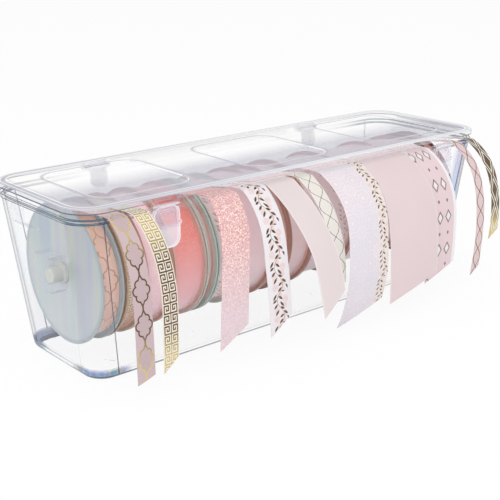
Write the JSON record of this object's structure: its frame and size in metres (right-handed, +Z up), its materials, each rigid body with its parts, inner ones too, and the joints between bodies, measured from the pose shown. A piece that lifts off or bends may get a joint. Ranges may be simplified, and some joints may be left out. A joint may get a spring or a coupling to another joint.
{
  "type": "ribbon dispenser",
  "caption": "Clear lidded box that holds ribbon spools on a rod and lets each ribbon out over its front rim.",
  "frame": {"origin": "centre of the flat face under the bin that the box stands on", "axes": "+Z up, +X along the box and its rod, -Y towards the front, where the ribbons leave"},
  "size_m": [0.368, 0.1556, 0.1152],
  "materials": {
    "clear_plastic": "clear, glossy",
    "frosted_plastic": "clear with a slightly milky face",
    "lilac_plastic": "clear with a lilac-grey tint",
    "flange_plastic": "smooth, faint pearl",
    "cream_plastic": "smooth",
    "white_plastic": "smooth",
    "steel": "plain wire",
    "ribbon_trellis_peach": "woven ribbon",
    "ribbon_greek_key": "woven ribbon",
    "ribbon_lace_mauve": "woven ribbon",
    "ribbon_glitter_coral": "woven ribbon",
    "ribbon_narrow_grey": "woven ribbon",
    "ribbon_leaf_sprig": "woven ribbon",
    "ribbon_satin_pink": "woven ribbon",
    "ribbon_trellis_white": "woven ribbon",
    "ribbon_lace_peach": "woven ribbon",
    "ribbon_lace_lilac": "woven ribbon",
    "ribbon_satin_blush": "woven ribbon",
    "ribbon_diamond_dot": "woven ribbon",
    "ribbon_trellis_rose": "woven ribbon",
    "ribbon_plaid_gold": "woven ribbon"
  },
  "bodies": {
    "bin": {"bin": "clear_plastic", "bin_floor": "clear_plastic", "bin_end_left": "clear_plastic", "bin_end_right": "clear_plastic", "rod_cradle_left": "clear_plastic", "rod_cradle_right": "clear_plastic", "end_ledge_left": "clear_plastic", "end_ledge_right": "clear_plastic", "hinge_ears": "clear_plastic", "hinge_pins": "steel", "tail_trellis_peach": "ribbon_trellis_peach", "tail_greek_key": "ribbon_greek_key", "tail_glitter_coral": "ribbon_glitter_coral", "tail_leaf_sprig": "ribbon_leaf_sprig", "tail_satin_pink": "ribbon_satin_pink", "tail_trellis_white": "ribbon_trellis_white", "tail_lace_lilac": "ribbon_lace_lilac", "tail_satin_blush": "ribbon_satin_blush", "tail_diamond_dot": "ribbon_diamond_dot", "tail_trellis_rose": "ribbon_trellis_rose", "tail_plaid_gold": "ribbon_plaid_gold"},
    "lid": {"lid": "frosted_plastic", "latch_pins": "steel"},
    "latch_left": {"latch_left": "lilac_plastic"},
    "latch_right": {"latch_right": "lilac_plastic"},
    "rod": {"rod": "white_plastic", "rod_knob_left": "cream_plastic", "rod_knob_right": "cream_plastic"},
    "spool_trellis_peach": {"spool_trellis_peach": "flange_plastic", "wound_trellis_peach": "ribbon_trellis_peach"},
    "spool_greek_key": {"spool_greek_key": "flange_plastic", "wound_greek_key": "ribbon_greek_key"},
    "spool_lace_mauve": {"spool_lace_mauve": "flange_plastic", "wound_lace_mauve": "ribbon_lace_mauve"},
    "spool_glitter_coral": {"spool_glitter_coral": "flange_plastic", "wound_glitter_coral": "ribbon_glitter_coral"},
    "spool_narrow_grey": {"spool_narrow_grey": "flange_plastic", "wound_narrow_grey": "ribbon_narrow_grey"},
    "spool_leaf_sprig": {"spool_leaf_sprig": "flange_plastic", "wound_leaf_sprig": "ribbon_leaf_sprig"},
    "spool_satin_pink": {"spool_satin_pink": "flange_plastic", "wound_satin_pink": "ribbon_satin_pink"},
    "spool_trellis_white": {"spool_trellis_white": "flange_plastic", "wound_trellis_white": "ribbon_trellis_white"},
    "spool_lace_peach": {"spool_lace_peach": "flange_plastic", "wound_lace_peach": "ribbon_lace_peach"},
    "spool_lace_lilac": {"spool_lace_lilac": "flange_plastic", "wound_lace_lilac": "ribbon_lace_lilac"},
    "spool_satin_blush": {"spool_satin_blush": "flange_plastic", "wound_satin_blush": "ribbon_satin_blush"},
    "spool_diamond_dot": {"spool_diamond_dot": "flange_plastic", "wound_diamond_dot": "ribbon_diamond_dot"},
    "spool_trellis_rose": {"spool_trellis_rose": "flange_plastic", "wound_trellis_rose": "ribbon_trellis_rose"},
    "spool_plaid_gold": {"spool_plaid_gold": "flange_plastic", "wound_plaid_gold": "ribbon_plaid_gold"}
  },
  "joints": [
    {"name": "lid_hinge", "type": "hinge", "parent": "bin", "child": "lid", "pos_m": [0, 0.05794, 0.1096], "axis": [-1, 0, 0], "range_deg": [0, 110]},
    {"name": "rod_spin", "type": "hinge", "parent": "bin", "child": "rod", "pos_m": [0, 0, 0.0611], "axis": [1, 0, 0], "continuous": true},
    {"name": "latch_left_swing", "type": "hinge", "parent": "lid", "child": "latch_left", "pos_m": [-0.1242, -0.05713, 0.1099], "axis": [-1, 0, 0], "range_deg": [0, 90]},
    {"name": "latch_right_swing", "type": "hinge", "parent": "lid", "child": "latch_right", "pos_m": [0.133, -0.05713, 0.1099], "axis": [-1, 0, 0], "range_deg": [0, 90]},
    {"name": "spool_trellis_peach_spin", "type": "hinge", "parent": "bin", "child": "spool_trellis_peach", "pos_m": [-0.15605, 0, 0.0604], "axis": [1, 0, 0], "continuous": true},
    {"name": "spool_greek_key_spin", "type": "hinge", "parent": "bin", "child": "spool_greek_key", "pos_m": [-0.13915, 0, 0.0604], "axis": [1, 0, 0], "continuous": true},
    {"name": "spool_lace_mauve_spin", "type": "hinge", "parent": "bin", "child": "spool_lace_mauve", "pos_m": [-0.1207, 0, 0.0604], "axis": [1, 0, 0], "continuous": true},
    {"name": "spool_glitter_coral_spin", "type": "hinge", "parent": "bin", "child": "spool_glitter_coral", "pos_m": [-0.0972, 0, 0.0604], "axis": [1, 0, 0], "continuous": true},
    {"name": "spool_narrow_grey_spin", "type": "hinge", "parent": "bin", "child": "spool_narrow_grey", "pos_m": [-0.07955, 0, 0.0604], "axis": [1, 0, 0], "continuous": true},
    {"name": "spool_leaf_sprig_spin", "type": "hinge", "parent": "bin", "child": "spool_leaf_sprig", "pos_m": [-0.0633, 0, 0.0604], "axis": [1, 0, 0], "continuous": true},
    {"name": "spool_satin_pink_spin", "type": "hinge", "parent": "bin", "child": "spool_satin_pink", "pos_m": [-0.0392, 0, 0.0604], "axis": [1, 0, 0], "continuous": true},
    {"name": "spool_trellis_white_spin", "type": "hinge", "parent": "bin", "child": "spool_trellis_white", "pos_m": [-0.0188, 0, 0.0604], "axis": [1, 0, 0], "continuous": true},
    {"name": "spool_lace_peach_spin", "type": "hinge", "parent": "bin", "child": "spool_lace_peach", "pos_m": [-0.0005, 0, 0.0604], "axis": [1, 0, 0], "continuous": true},
    {"name": "spool_lace_lilac_spin", "type": "hinge", "parent": "bin", "child": "spool_lace_lilac", "pos_m": [0.03075, 0, 0.0604], "axis": [1, 0, 0], "continuous": true},
    {"name": "spool_satin_blush_spin", "type": "hinge", "parent": "bin", "child": "spool_satin_blush", "pos_m": [0.0783, 0, 0.0604], "axis": [1, 0, 0], "continuous": true},
    {"name": "spool_diamond_dot_spin", "type": "hinge", "parent": "bin", "child": "spool_diamond_dot", "pos_m": [0.1223, 0, 0.0604], "axis": [1, 0, 0], "continuous": true},
    {"name": "spool_trellis_rose_spin", "type": "hinge", "parent": "bin", "child": "spool_trellis_rose", "pos_m": [0.1453, 0, 0.0604], "axis": [1, 0, 0], "continuous": true},
    {"name": "spool_plaid_gold_spin", "type": "hinge", "parent": "bin", "child": "spool_plaid_gold", "pos_m": [0.1576, 0, 0.0604], "axis": [1, 0, 0], "continuous": true}
  ]
}
